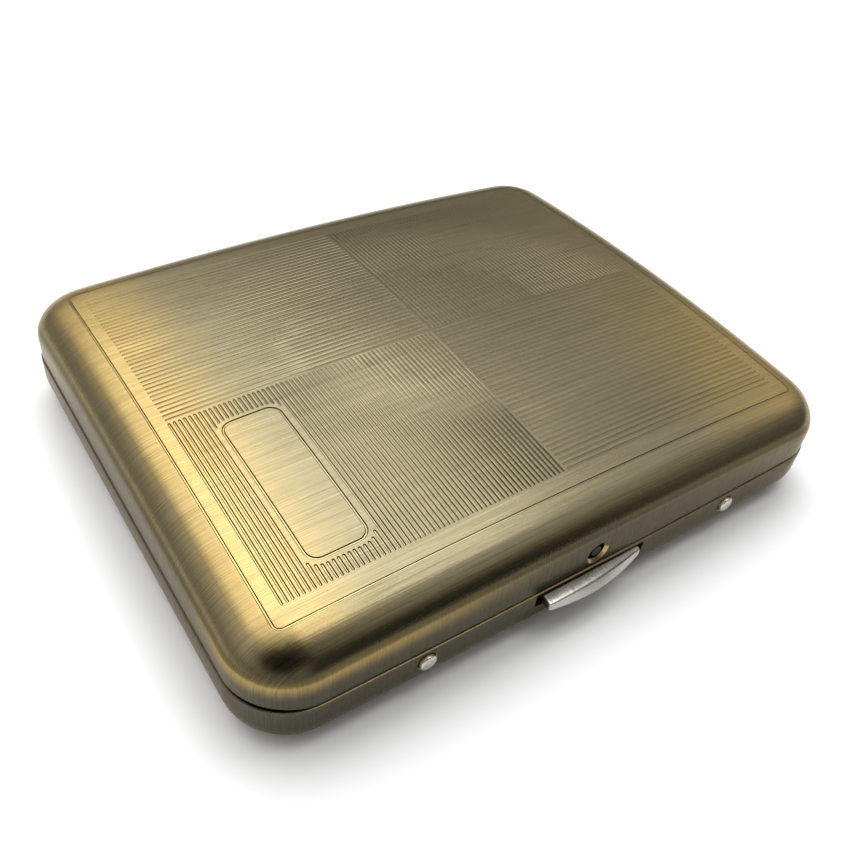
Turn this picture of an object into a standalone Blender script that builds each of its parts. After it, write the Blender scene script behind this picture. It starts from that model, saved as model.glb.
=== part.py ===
"""Pocket cigarette case, modelled in metres with +Z up.

Two pressed sheet shells meet on a long barrel hinge. A leaf spring behind the latch wall carries
a catch nub, which enters a round hole in the lid, and a thumb piece that frees it. A sprung wire
arm in each half holds the cigarettes down. The origin is the centre of the flat underside, X runs
along the hinge and -Y faces the latch side.
"""

import math

import bmesh
import bpy
from mathutils import Vector

MM = 0.001

# Outline of the lid, seen from above
CASE_LENGTH = 98.4 * MM
CASE_DEPTH = 80.8 * MM
FRONT_BOW = 0.5 * MM
CORNER_RADIUS = 8.4 * MM

# Heights of the two halves and the step between them
LID_HEIGHT = 11.1 * MM
BASE_HEIGHT = 7.9 * MM
SEAM_GAP = 0.3 * MM
RIM_STEP = 0.2 * MM
SHEET = 0.6 * MM

# Pillow form: how far the crown falls towards each side, and the rounded edges
CROWN_ALONG = 1.55 * MM
CROWN_ACROSS = 1.94 * MM
LID_EDGE_WIDTH = 6.2 * MM
LID_EDGE_DROP = 4.6 * MM
BASE_EDGE_WIDTH = 4.4 * MM
BASE_EDGE_RISE = 4.4 * MM

# Barrel hinge at the back
HINGE_LENGTH = 64.0 * MM
KNUCKLE_COUNT = 5
KNUCKLE_RADIUS = 1.15 * MM
HINGE_PIN_RADIUS = 0.5 * MM
HINGE_PIN_HEAD = 0.45 * MM
HINGE_PIN_HEAD_RADIUS = 0.9 * MM
HINGE_SETBACK = 0.35 * MM
HINGE_LEAF_HEIGHT = 2.8 * MM
HINGE_LEAF_THICKNESS = 0.5 * MM

# Latch: hole in the lid, leaf spring, studs that hold it and the thumb piece
CATCH_HOLE_RADIUS = 1.75 * MM
CATCH_HEIGHT = 2.25 * MM
NUB_RADIUS = 1.1 * MM
NUB_TIP_RADIUS = 0.8 * MM
LATCH_LEAF_LENGTH = 59.0 * MM
LATCH_LEAF_THICKNESS = 0.5 * MM
LATCH_LEAF_HEIGHT = 3.2 * MM
LATCH_TAB_WIDTH = 4.6 * MM
STUD_SPACING = 53.2 * MM
STUD_DROP = 2.2 * MM
STUD_RADIUS = 1.2 * MM
STUD_HOLE_RADIUS = 1.45 * MM
STUD_SHANK_RADIUS = 0.7 * MM
STUD_PROUD = 0.55 * MM
STUD_CROWN = 0.12 * MM
STUD_EDGE = 0.2 * MM
THUMB_WIDTH = 17.6 * MM
THUMB_HEIGHT = 1.55 * MM
THUMB_DROP = 0.9 * MM
THUMB_REACH = 1.3 * MM
THUMB_BULGE = 1.2 * MM
THUMB_SKEW = math.radians(3.7)
THUMB_SLOT_SPARE = 1.0 * MM
RIVET_RADIUS = 0.6 * MM
RIVET_HEAD_OVERHANG = 0.5 * MM
RIVET_HEAD_HEIGHT = 0.5 * MM
RIVET_CHAMFER = 0.15 * MM
RIVET_DEPTH = 0.5 * MM

# Retaining arms: bent wire, pivoted near the hinge in each half
ARM_WIRE_RADIUS = 0.6 * MM
ARM_BEND_RADIUS = 2.0 * MM
ARM_CORNER_RADIUS = 4.5 * MM
ARM_PIN_LENGTH = 5.0 * MM
ARM_PIVOT_INSET = 6.9 * MM
ARM_PIVOT_HEIGHT = 1.8 * MM
BASE_ARM_INSET = 18.2 * MM
BASE_ARM_REACH = 53.5 * MM
LID_ARM_INSET = 25.2 * MM
LID_ARM_REACH = 45.5 * MM
EAR_THICKNESS = 0.5 * MM
EAR_RADIUS = 1.5 * MM
FOOT_LENGTH = 3.5 * MM

# Torsion springs on the arms' pins
SPRING_WIRE_RADIUS = 0.2 * MM
SPRING_PITCH = 0.86 * MM
SPRING_TURNS = 2.5
SPRING_LEG = 6.0 * MM

# Clearances
GAP = 0.3 * MM
RUNNING_GAP = 0.12 * MM
LEAF_GAP = 0.35 * MM
OVERLAP = 0.1 * MM

# Smoothness of the faceted forms
CORNER_STEPS = 6
SIDE_STEPS = 4
EDGE_STEPS = 5
CROWN_RINGS = 4
ROUND_SIDES = 20
BEND_STEPS = 5
COIL_STEPS = 10
THUMB_STEPS = 12

CASE_HEIGHT = BASE_HEIGHT + LID_HEIGHT
HALF_LENGTH = CASE_LENGTH / 2
HALF_DEPTH = CASE_DEPTH / 2
SEAM = BASE_HEIGHT
BASE_BACK = HALF_DEPTH + RIM_STEP
HINGE_Y = BASE_BACK + HINGE_SETBACK
HINGE_LEAF_Y = HINGE_Y - KNUCKLE_RADIUS - LEAF_GAP
KNUCKLE_PITCH = HINGE_LENGTH / KNUCKLE_COUNT
LATCH_LEAF_Y = -(HALF_DEPTH + FRONT_BOW) + SHEET + GAP
LATCH_LEAF_BACK = LATCH_LEAF_Y + LATCH_LEAF_THICKNESS
LATCH_LEAF_TOP = SEAM - 2 * GAP
THUMB_TOP = SEAM - THUMB_DROP
THUMB_MIDDLE = THUMB_TOP - THUMB_HEIGHT / 2
THUMB_BACK = LATCH_LEAF_Y - GAP
ARM_PIVOT_Y = HALF_DEPTH - ARM_PIVOT_INSET
FLOOR = SHEET + GAP
SPRING_COIL_RADIUS = ARM_WIRE_RADIUS + GAP + SPRING_WIRE_RADIUS

COLOURS = {
    "aged_brass": ((0.38, 0.30, 0.15), 0.34),
    "bright_brass": ((0.62, 0.48, 0.22), 0.28),
    "nickel": ((0.66, 0.64, 0.58), 0.24),
    "spring_steel": ((0.42, 0.42, 0.42), 0.32),
}


def clear_scene():
    for old in list(bpy.data.objects):
        bpy.data.objects.remove(old)


def new_collection(name):
    collection = bpy.data.collections.new(name)
    bpy.context.scene.collection.children.link(collection)
    return collection


def finish(obj, finish_name):
    """Give a piece its own material in one of the case's finishes."""
    colour, roughness = COLOURS[finish_name]
    material = bpy.data.materials.new(obj.name + "_finish")
    material.use_nodes = True
    shader = material.node_tree.nodes["Principled BSDF"]
    shader.inputs["Base Color"].default_value = (*colour, 1.0)
    shader.inputs["Roughness"].default_value = roughness
    shader.inputs["Metallic"].default_value = 1.0
    obj.data.materials.append(material)
    return obj


def mesh_object(name, mesh_data, collection):
    mesh = bpy.data.meshes.new(name)
    mesh_data.to_mesh(mesh)
    mesh_data.free()
    mesh.shade_smooth()
    mesh.set_sharp_from_angle(angle=math.radians(35))
    obj = bpy.data.objects.new(name, mesh)
    collection.objects.link(obj)
    return obj


def cutter(obj):
    obj.hide_render = True
    obj.display_type = "WIRE"
    return obj


def box(name, low, high, collection):
    """A block between two opposite corners, with its origin at its centre."""
    low, high = Vector(low), Vector(high)
    mesh_data = bmesh.new()
    bmesh.ops.create_cube(mesh_data, size=1.0)
    bmesh.ops.scale(mesh_data, vec=high - low, verts=mesh_data.verts)
    obj = mesh_object(name, mesh_data, collection)
    obj.location = (low + high) / 2
    return obj


def rod(name, centre, axis, radius, length, collection, far_radius=None):
    """A cylinder or cone about a world axis, X or Y; a cone's far end points along minus Y."""
    mesh_data = bmesh.new()
    bmesh.ops.create_cone(
        mesh_data,
        cap_ends=True,
        segments=ROUND_SIDES,
        radius1=radius,
        radius2=radius if far_radius is None else far_radius,
        depth=length,
    )
    obj = mesh_object(name, mesh_data, collection)
    obj.location = centre
    obj.rotation_euler = (0, math.pi / 2, 0) if axis == "X" else (math.pi / 2, 0, 0)
    return obj


def turned(name, profile, centre, axis, collection):
    """A turned piece: (radius, height) points from its top down, spun about X or minus Y."""
    mesh_data = bmesh.new()
    points = [mesh_data.verts.new((radius, 0, height)) for radius, height in profile]
    for upper, lower in zip(points, points[1:]):
        mesh_data.edges.new((upper, lower))
    obj = mesh_object(name, mesh_data, collection)
    screw = obj.modifiers.new("Spin", "SCREW")
    screw.steps = ROUND_SIDES
    screw.render_steps = ROUND_SIDES
    screw.use_merge_vertices = True
    screw.merge_threshold = 0.00001
    obj.location = centre
    obj.rotation_euler = (0, math.pi / 2, 0) if axis == "X" else (math.pi / 2, 0, 0)
    return obj


def boolean(obj, other, operation):
    modifier = obj.modifiers.new(operation.title() + " " + other.name, "BOOLEAN")
    modifier.operation = operation
    modifier.solver = "EXACT"
    modifier.object = cutter(other)


def rounded_path(points, radii):
    """The same path with each corner replaced by a short curve of its own radius."""
    points = [Vector(point) for point in points]
    path = [points[0]]
    for before, corner, after, radius in zip(points, points[1:], points[2:], radii):
        reach = min(radius, (before - corner).length / 2, (after - corner).length / 2)
        start = corner + (before - corner).normalized() * reach
        end = corner + (after - corner).normalized() * reach
        for step in range(BEND_STEPS + 1):
            t = step / BEND_STEPS
            path.append((1 - t) ** 2 * start + 2 * t * (1 - t) * corner + t**2 * end)
    path.append(points[-1])
    return path


def wire(name, path, radius, sides_level, collection):
    """A round wire with closed ends along a path."""
    curve = bpy.data.curves.new(name, "CURVE")
    curve.dimensions = "3D"
    curve.bevel_depth = radius
    curve.bevel_resolution = sides_level
    curve.use_fill_caps = True
    spline = curve.splines.new("POLY")
    spline.points.add(len(path) - 1)
    for point, place in zip(spline.points, path):
        point.co = (*place, 1.0)
    obj = bpy.data.objects.new(name, curve)
    collection.objects.link(obj)
    return obj


def bowed(x, y):
    """Push a point of the plan outwards where it lies towards the latch side."""
    return x, y - FRONT_BOW * (1 - (x / HALF_LENGTH) ** 2) * max(0.0, -y / HALF_DEPTH)


def outline(inset):
    """The plan outline moved inwards by inset, anticlockwise from the right end of the back."""
    half_x = HALF_LENGTH - inset
    half_y = HALF_DEPTH - inset
    radius = max(CORNER_RADIUS - inset, GAP)
    corners = []
    for quarter, (side_x, side_y) in enumerate(((1, 1), (-1, 1), (-1, -1), (1, -1))):
        corner = []
        for step in range(CORNER_STEPS + 1):
            angle = (quarter + step / CORNER_STEPS) * math.pi / 2
            corner.append(
                (
                    side_x * (half_x - radius) + radius * math.cos(angle),
                    side_y * (half_y - radius) + radius * math.sin(angle),
                )
            )
        corners.append(corner)
    points = []
    for corner, following in zip(corners, corners[1:] + corners[:1]):
        points += corner
        (x0, y0), (x1, y1) = corner[-1], following[0]
        for step in range(1, SIDE_STEPS + 1):
            t = step / (SIDE_STEPS + 1)
            points.append((x0 + (x1 - x0) * t, y0 + (y1 - y0) * t))
    return [bowed(x, y) for x, y in points]


def crown(x, y):
    """Height of the lid's pillow-shaped top."""
    fall = CROWN_ALONG * (x / HALF_LENGTH) ** 2 + CROWN_ACROSS * (y / HALF_DEPTH) ** 2
    return CASE_HEIGHT - fall


def front_wall(x, grow):
    """Y of the latch wall's outer face at x, on the lid or, grown by RIM_STEP, on the base."""
    return -(HALF_DEPTH + grow + FRONT_BOW * (1 - (x / HALF_LENGTH) ** 2))


def shell(name, rings, flat_bottom, collection):
    """A sheet shell: a surface lofted up through the rings and given its thickness inwards."""
    mesh_data = bmesh.new()
    rows = [[mesh_data.verts.new(point) for point in ring] for ring in rings]
    for lower, upper in zip(rows, rows[1:]):
        for i, corner in enumerate(lower):
            j = (i + 1) % len(lower)
            mesh_data.faces.new((corner, lower[j], upper[j], upper[i]))
    if flat_bottom:
        mesh_data.faces.new(list(reversed(rows[0])))
    else:
        middle = mesh_data.verts.new((0, 0, crown(0, 0)))
        for i, corner in enumerate(rows[-1]):
            mesh_data.faces.new((corner, rows[-1][(i + 1) % len(rows[-1])], middle))
    bmesh.ops.triangulate(mesh_data, faces=mesh_data.faces)
    obj = mesh_object(name, mesh_data, collection)
    solidify = obj.modifiers.new("Sheet", "SOLIDIFY")
    solidify.thickness = SHEET
    solidify.offset = -1
    solidify.use_even_offset = True
    return obj


def lid_rings():
    rings = [[(x, y, SEAM + SEAM_GAP / 2) for x, y in outline(0)]]
    for step in range(EDGE_STEPS + 1):
        turn = step / EDGE_STEPS * math.pi / 2
        drop = LID_EDGE_DROP * (1 - math.sin(turn))
        plan = outline(LID_EDGE_WIDTH * (1 - math.cos(turn)))
        rings.append([(x, y, crown(x, y) - drop) for x, y in plan])
    inner = outline(LID_EDGE_WIDTH)
    for ring in range(CROWN_RINGS, 0, -1):
        share = ring / (CROWN_RINGS + 1)
        rings.append([(x * share, y * share, crown(x * share, y * share)) for x, y in inner])
    return rings


def base_rings():
    rings = []
    for step in range(EDGE_STEPS + 1):
        turn = step / EDGE_STEPS * math.pi / 2
        plan = outline(BASE_EDGE_WIDTH * (1 - math.sin(turn)) - RIM_STEP)
        height = BASE_EDGE_RISE * (1 - math.cos(turn))
        rings.append([(x, y, height) for x, y in plan])
    rings.append([(x, y, SEAM - SEAM_GAP / 2) for x, y in outline(-RIM_STEP)])
    return rings


def hinge_slot(tools):
    """The opening that the barrel fills in the back walls of both shells."""
    half = HINGE_LENGTH / 2 + HINGE_PIN_HEAD + 2 * GAP
    rise = KNUCKLE_RADIUS + GAP
    inner = HALF_DEPTH - 2 * SHEET
    return box(
        "hinge_slot", (-half, inner, SEAM - rise), (half, BASE_BACK + GAP, SEAM + rise), tools
    )


def build_shells(parts, tools):
    lid = shell("lid_shell", lid_rings(), False, parts)
    base = shell("base_shell", base_rings(), True, parts)
    slot = hinge_slot(tools)
    boolean(lid, slot, "DIFFERENCE")
    boolean(base, slot, "DIFFERENCE")

    wall = front_wall(0, 0)
    hole = rod(
        "catch_hole", (0, wall, SEAM + CATCH_HEIGHT), "Y", CATCH_HOLE_RADIUS, 4 * SHEET, tools
    )
    boolean(lid, hole, "DIFFERENCE")
    for side in (-1, 1):
        x = side * STUD_SPACING / 2
        place = (x, front_wall(x, RIM_STEP), SEAM - STUD_DROP)
        hole = rod("stud_hole", place, "Y", STUD_HOLE_RADIUS, 4 * SHEET, tools)
        boolean(base, hole, "DIFFERENCE")
    half = THUMB_WIDTH / 2 + THUMB_SLOT_SPARE
    slot = box(
        "thumb_slot",
        (-half, wall - 2 * SHEET, THUMB_TOP - THUMB_HEIGHT - GAP),
        (half, wall + 2 * SHEET, THUMB_TOP + GAP),
        tools,
    )
    boolean(base, slot, "DIFFERENCE")
    finish(lid, "aged_brass")
    finish(base, "aged_brass")


def hinge_leaf(name, side, knuckles, parts, tools):
    """One half of the hinge: a strip along the inside of the back wall, webs and knuckles."""
    low, high = sorted((SEAM + side * GAP, SEAM + side * (GAP + HINGE_LEAF_HEIGHT)))
    back = HINGE_LEAF_Y
    front = back - HINGE_LEAF_THICKNESS
    half = HINGE_LENGTH / 2
    leaf = box(name, (-half, front, low), (half, back, high), parts)
    root = GAP + OVERLAP
    low, high = sorted((SEAM + side * root, SEAM + side * (root + HINGE_LEAF_THICKNESS)))
    for index in knuckles:
        middle = (index + 0.5) * KNUCKLE_PITCH - half
        length = KNUCKLE_PITCH - GAP
        reach = length / 2 - OVERLAP
        web = box(
            "web",
            (middle - reach, (front + back) / 2, low),
            (middle + reach, HINGE_Y, high),
            tools,
        )
        knuckle = rod("knuckle", (middle, HINGE_Y, SEAM), "X", KNUCKLE_RADIUS, length, tools)
        boolean(leaf, web, "UNION")
        boolean(leaf, knuckle, "UNION")
    bore_radius = HINGE_PIN_RADIUS + RUNNING_GAP
    bore = rod("bore", (0, HINGE_Y, SEAM), "X", bore_radius, 2 * HINGE_LENGTH, tools)
    boolean(leaf, bore, "DIFFERENCE")
    finish(leaf, "bright_brass")


def build_hinge(parts, tools):
    hinge_leaf("base_hinge_leaf", -1, range(0, KNUCKLE_COUNT, 2), parts, tools)
    hinge_leaf("lid_hinge_leaf", 1, range(1, KNUCKLE_COUNT, 2), parts, tools)
    shank = HINGE_LENGTH / 2 + RUNNING_GAP
    tip = shank + HINGE_PIN_HEAD
    head = HINGE_PIN_HEAD_RADIUS
    middle = shank + HINGE_PIN_HEAD / 2
    half_profile = [(0, tip), (HINGE_PIN_RADIUS, tip), (head, middle), (head, shank)]
    profile = half_profile + [(HINGE_PIN_RADIUS, shank), (HINGE_PIN_RADIUS, -shank)]
    profile += [(radius, -height) for radius, height in reversed(half_profile)]
    pin = turned("hinge_pin", profile, (0, HINGE_Y, SEAM), "X", parts)
    finish(pin, "bright_brass")


def build_latch_leaf(parts, tools):
    """The leaf spring: a strip, a tab that stands up behind the lid's wall, and the nub."""
    half = LATCH_LEAF_LENGTH / 2
    leaf = box(
        "latch_leaf_spring",
        (-half, LATCH_LEAF_Y, LATCH_LEAF_TOP - LATCH_LEAF_HEIGHT),
        (half, LATCH_LEAF_BACK, LATCH_LEAF_TOP),
        parts,
    )
    nub_height = SEAM + CATCH_HEIGHT
    tab = box(
        "tab",
        (-LATCH_TAB_WIDTH / 2, LATCH_LEAF_Y, LATCH_LEAF_TOP - LATCH_LEAF_HEIGHT / 2),
        (LATCH_TAB_WIDTH / 2, LATCH_LEAF_BACK, nub_height + NUB_RADIUS + GAP),
        tools,
    )
    boolean(leaf, tab, "UNION")
    tip = front_wall(0, 0) + SHEET / 2
    root = LATCH_LEAF_Y + LATCH_LEAF_THICKNESS / 2
    nub = rod(
        "nub",
        (0, (tip + root) / 2, nub_height),
        "Y",
        NUB_RADIUS,
        root - tip,
        tools,
        far_radius=NUB_TIP_RADIUS,
    )
    boolean(leaf, nub, "UNION")
    holes = [(0, THUMB_MIDDLE, RIVET_RADIUS)]
    for side in (-1, 1):
        holes.append((side * STUD_SPACING / 2, SEAM - STUD_DROP, STUD_SHANK_RADIUS))
    for x, z, radius in holes:
        place = (x, LATCH_LEAF_Y, z)
        hole = rod("leaf_hole", place, "Y", radius + RUNNING_GAP, 4 * LATCH_LEAF_THICKNESS, tools)
        boolean(leaf, hole, "DIFFERENCE")
    finish(leaf, "spring_steel")


def riveted_tail(shank_radius):
    """Profile points behind the leaf, from the shank out to the peened head and its end."""
    seat = -(LATCH_LEAF_BACK + GAP)
    end = seat - RIVET_HEAD_HEIGHT
    head = shank_radius + RIVET_HEAD_OVERHANG
    rim = [(head, seat), (head, end + RIVET_CHAMFER), (head - RIVET_CHAMFER, end)]
    return [(shank_radius, seat)] + rim + [(0, end)]


def build_studs(parts):
    """The two low-crowned studs that locate the leaf in the latch wall's holes."""
    for side, name in ((-1, "left"), (1, "right")):
        x = side * STUD_SPACING / 2
        tip = STUD_PROUD - front_wall(x, RIM_STEP)
        seat = -(LATCH_LEAF_Y - GAP)
        edge = tip - STUD_CROWN
        profile = [(0, tip), (STUD_RADIUS / 2, tip - STUD_CROWN / 4)]
        profile += [(STUD_RADIUS - STUD_EDGE, edge), (STUD_RADIUS, edge - STUD_EDGE)]
        profile += [(STUD_RADIUS, seat), (STUD_SHANK_RADIUS, seat)]
        profile += riveted_tail(STUD_SHANK_RADIUS)
        stud = turned("latch_stud_" + name, profile, (x, 0, SEAM - STUD_DROP), "Y", parts)
        finish(stud, "nickel")


def thumb_outline(bulge, reach):
    """Plan of the thumb piece at one height: a straight back and an arched, slightly askew front."""
    half = THUMB_WIDTH / 2
    points = [(half, THUMB_BACK), (-half, THUMB_BACK)]
    for step in range(THUMB_STEPS + 1):
        x = half * (2 * step / THUMB_STEPS - 1)
        front = front_wall(0, RIM_STEP) - reach - bulge * (1 - (x / half) ** 2)
        points.append((x, front + x * math.tan(THUMB_SKEW)))
    return points


def build_thumb_piece(parts, tools):
    """The push: its lower front edge is a half moon and its upper one is straight."""
    mesh_data = bmesh.new()
    rows = []
    for bulge, reach, z in (
        (THUMB_BULGE, THUMB_REACH - OVERLAP, THUMB_TOP - THUMB_HEIGHT),
        (0.0, THUMB_REACH, THUMB_TOP),
    ):
        rows.append([mesh_data.verts.new((x, y, z)) for x, y in thumb_outline(bulge, reach)])
    lower, upper = rows
    mesh_data.faces.new(lower)
    mesh_data.faces.new(list(reversed(upper)))
    for i, corner in enumerate(lower):
        j = (i + 1) % len(lower)
        mesh_data.faces.new((corner, upper[i], upper[j], lower[j]))
    bmesh.ops.recalc_face_normals(mesh_data, faces=mesh_data.faces)
    thumb = mesh_object("latch_thumb_piece", mesh_data, parts)
    place = (0, THUMB_BACK, THUMB_MIDDLE)
    depth = 2 * (RIVET_DEPTH + GAP)
    socket = rod("rivet_socket", place, "Y", RIVET_RADIUS + RUNNING_GAP, depth, tools)
    boolean(thumb, socket, "DIFFERENCE")
    finish(thumb, "nickel")

    tip = RIVET_DEPTH - THUMB_BACK
    profile = [(0, tip), (RIVET_RADIUS, tip)] + riveted_tail(RIVET_RADIUS)
    rivet = turned("thumb_rivet", profile, (0, 0, THUMB_MIDDLE), "Y", parts)
    finish(rivet, "nickel")


def arm_seat(half_width, up):
    """Height of the face that an arm's brackets stand on: the floor, or the lid's inside."""
    if up > 0:
        return FLOOR
    outer_x = half_width + ARM_PIN_LENGTH + FOOT_LENGTH
    outer_y = ARM_PIVOT_Y + EAR_RADIUS
    inside = max(0.0, 1 - (HALF_DEPTH - outer_y) / LID_EDGE_WIDTH)
    edge = LID_EDGE_DROP * (1 - math.sqrt(1 - inside**2))
    return crown(outer_x, outer_y) - edge - FLOOR


def arm_path(half_width, reach):
    """One bent wire: pin end, side, cross bar, side, pin end, about a pivot at the origin."""
    tip = half_width + ARM_PIN_LENGTH
    corners = [(-tip, 0, 0), (-half_width, 0, 0), (-half_width, -reach, 0)]
    corners += [(-x, y, z) for x, y, z in reversed(corners)]
    radii = (ARM_BEND_RADIUS, ARM_CORNER_RADIUS, ARM_CORNER_RADIUS, ARM_BEND_RADIUS)
    return rounded_path(corners, radii)


def spring_path(half_width, side, up):
    """A torsion spring round a pin: a leg over the arm, the coil and a leg to the seat."""
    radius = SPRING_COIL_RADIUS
    start = half_width + SPRING_COIL_RADIUS
    coil = []
    steps = round(SPRING_TURNS * COIL_STEPS)
    for step in range(steps + 1):
        turn = 2 * math.pi * step / COIL_STEPS
        x = start + SPRING_PITCH * step / COIL_STEPS
        coil.append((side * x, radius * math.sin(turn), up * radius * math.cos(turn)))
    end = start + SPRING_PITCH * SPRING_TURNS
    rest = -(ARM_PIVOT_HEIGHT + EAR_THICKNESS - SPRING_WIRE_RADIUS)
    over = half_width - ARM_WIRE_RADIUS
    hook = [(side * over, -SPRING_LEG, up * radius), (side * start, -SPRING_LEG, up * radius)]
    foot = [(side * end, -SPRING_LEG, -up * radius), (side * end, -SPRING_LEG, up * rest)]
    hook = rounded_path(hook + [coil[0]], [2 * SPRING_WIRE_RADIUS])
    foot = rounded_path([coil[-1]] + foot, [2 * SPRING_WIRE_RADIUS])
    return hook[:-1] + [Vector(point) for point in coil] + foot[1:]


def least_gap(path, apart):
    """Smallest free distance in a spring between stretches that lie apart along its wire."""
    along = [0.0]
    for here, there in zip(path, path[1:]):
        along.append(along[-1] + (there - here).length)
    gaps = []
    for i, here in enumerate(path):
        gaps += [(here - path[j]).length for j in range(i) if along[i] - along[j] > apart]
    return min(gaps) - 2 * SPRING_WIRE_RADIUS


def build_bracket(name, half_width, side, seat, up, parts, tools):
    """An ear with the pivot hole, on a foot that is soldered to the shell."""
    near = half_width + ARM_PIN_LENGTH - 2 * EAR_THICKNESS
    pivot = seat + up * (ARM_PIVOT_HEIGHT + EAR_THICKNESS)

    def block(label, x0, x1, z0, z1, collection):
        xs = sorted((side * x0, side * x1))
        zs = sorted((z0, z1))
        low = (xs[0], ARM_PIVOT_Y - EAR_RADIUS, zs[0])
        return box(label, low, (xs[1], ARM_PIVOT_Y + EAR_RADIUS, zs[1]), collection)

    bracket = block(name, near, near + EAR_THICKNESS, seat, pivot, parts)
    foot = block("foot", near + OVERLAP, near + FOOT_LENGTH, seat, seat + up * EAR_THICKNESS, tools)
    middle = side * (near + EAR_THICKNESS / 2)
    place = (middle, ARM_PIVOT_Y, pivot)
    top = rod("ear_top", place, "X", EAR_RADIUS, EAR_THICKNESS, tools)
    hole_radius = ARM_WIRE_RADIUS + RUNNING_GAP
    hole = rod("ear_hole", place, "X", hole_radius, 4 * EAR_THICKNESS, tools)
    boolean(bracket, top, "UNION")
    boolean(bracket, foot, "UNION")
    boolean(bracket, hole, "DIFFERENCE")
    finish(bracket, "bright_brass")


def build_retainer(half, inset, reach, up, parts, tools):
    """An arm, its two brackets and its two springs in one half of the case."""
    half_width = HALF_LENGTH - inset
    seat = arm_seat(half_width, up)
    pivot = seat + up * (ARM_PIVOT_HEIGHT + EAR_THICKNESS)
    bar_y = ARM_PIVOT_Y - reach
    if up > 0:
        bar_z = FLOOR + ARM_WIRE_RADIUS
    else:
        bar_z = crown(half_width, bar_y) - FLOOR - ARM_WIRE_RADIUS
    slope = math.atan2(pivot - bar_z, reach)
    arm = wire(half + "_arm", arm_path(half_width, reach), ARM_WIRE_RADIUS, 2, parts)
    arm.location = (0, ARM_PIVOT_Y, pivot)
    arm.rotation_euler = (slope, 0, 0)
    finish(arm, "bright_brass")
    for side, name in ((-1, "left"), (1, "right")):
        bracket_name = half + "_arm_bracket_" + name
        build_bracket(bracket_name, half_width, side, seat, up, parts, tools)
        path = spring_path(half_width, side, up)
        gap = least_gap(path, math.pi * SPRING_COIL_RADIUS)
        print(f"{half} {name} spring, least gap to itself {gap / MM:.2f} mm")
        spring = wire(half + "_arm_spring_" + name, path, SPRING_WIRE_RADIUS, 1, parts)
        spring.location = (0, ARM_PIVOT_Y, pivot)
        finish(spring, "spring_steel")


def main():
    clear_scene()
    parts = new_collection("cigarette_case")
    tools = new_collection("cutters")
    build_shells(parts, tools)
    build_hinge(parts, tools)
    build_latch_leaf(parts, tools)
    build_studs(parts)
    build_thumb_piece(parts, tools)
    build_retainer("base", BASE_ARM_INSET, BASE_ARM_REACH, 1, parts, tools)
    build_retainer("lid", LID_ARM_INSET, LID_ARM_REACH, -1, parts, tools)


main()
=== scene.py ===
"""Looks of a pocket cigarette case: shells of brushed, aged brass, with a lined lid."""

import math
from contextlib import contextmanager

import bpy
from mathutils import Matrix, Vector


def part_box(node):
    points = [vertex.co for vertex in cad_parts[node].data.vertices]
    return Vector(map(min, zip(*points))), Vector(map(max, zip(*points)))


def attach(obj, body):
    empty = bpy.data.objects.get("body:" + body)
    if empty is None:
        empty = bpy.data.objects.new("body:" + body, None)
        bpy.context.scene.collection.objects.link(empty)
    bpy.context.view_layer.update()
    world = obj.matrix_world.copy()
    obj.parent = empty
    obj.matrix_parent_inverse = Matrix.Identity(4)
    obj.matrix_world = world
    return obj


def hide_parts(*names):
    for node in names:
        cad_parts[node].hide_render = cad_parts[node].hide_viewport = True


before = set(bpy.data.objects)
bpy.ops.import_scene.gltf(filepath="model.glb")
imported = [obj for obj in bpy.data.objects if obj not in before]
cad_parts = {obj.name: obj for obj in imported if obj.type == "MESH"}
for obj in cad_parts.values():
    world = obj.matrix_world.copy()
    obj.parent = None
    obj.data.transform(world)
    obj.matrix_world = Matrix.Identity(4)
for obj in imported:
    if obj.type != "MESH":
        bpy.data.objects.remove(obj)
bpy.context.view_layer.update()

MM = 0.001
bpy.ops.object.select_all(action="DESELECT")

# The photograph's camera, in millimetres and degrees
CAMERA_PLACE = Vector((-68.24, -86.64, 100.06)) * MM
CAMERA_TURN = [math.radians(angle) for angle in (47.455, -5.397, -33.783)]
LENS = 38.28
SENSOR = 36.0
NEAREST_SEEN = 5 * MM

# Sizes read from the solid model, and those that the shells repeat from it
lid_low, lid_high = (Vector(corner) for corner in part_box("lid_shell"))
base_low, base_high = (Vector(corner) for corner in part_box("base_shell"))
HALF_LENGTH = lid_high.x
HALF_DEPTH = lid_high.y
FRONT_BOW = 0.5 * MM
CORNER_RADIUS = 8.4 * MM
SHEET = 0.6 * MM
RIM_STEP = base_high.x - lid_high.x
LID_RIM = lid_low.z
LID_TOP = lid_high.z
BASE_RIM = base_high.z
CROWN_ALONG = 1.55 * MM
CROWN_ACROSS = 1.94 * MM
LID_EDGE = (6.2 * MM, 4.6 * MM)
BASE_EDGE = (4.4 * MM, 4.4 * MM)

# Steps of the shells' roundings, and the cells that let them bend
CORNER_STEPS = 16
EDGE_STEPS = 12
CELL = 3.3 * MM
RIM_BEVEL = 0.12 * MM
SHARP_ANGLE = 60

# Holes: each is a little larger than what it holds, and its tool reaches through the wall
ROUND_SIDES = 48
TOOL_LENGTH = 4 * SHEET
CATCH_HEIGHT = 10.15 * MM
CATCH_RADIUS = 1.45 * MM
CATCH_FLARE = 0.4 * MM
STUD_HOLE_RADIUS = 1.38 * MM
STUD_HOLE_FLARE = 0.08 * MM
THUMB_ROOM = Vector((0.65, 0, 0.3)) * MM
SLOT_CORNER = 0.25 * MM
HINGE_ROOM = 0.3 * MM

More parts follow.
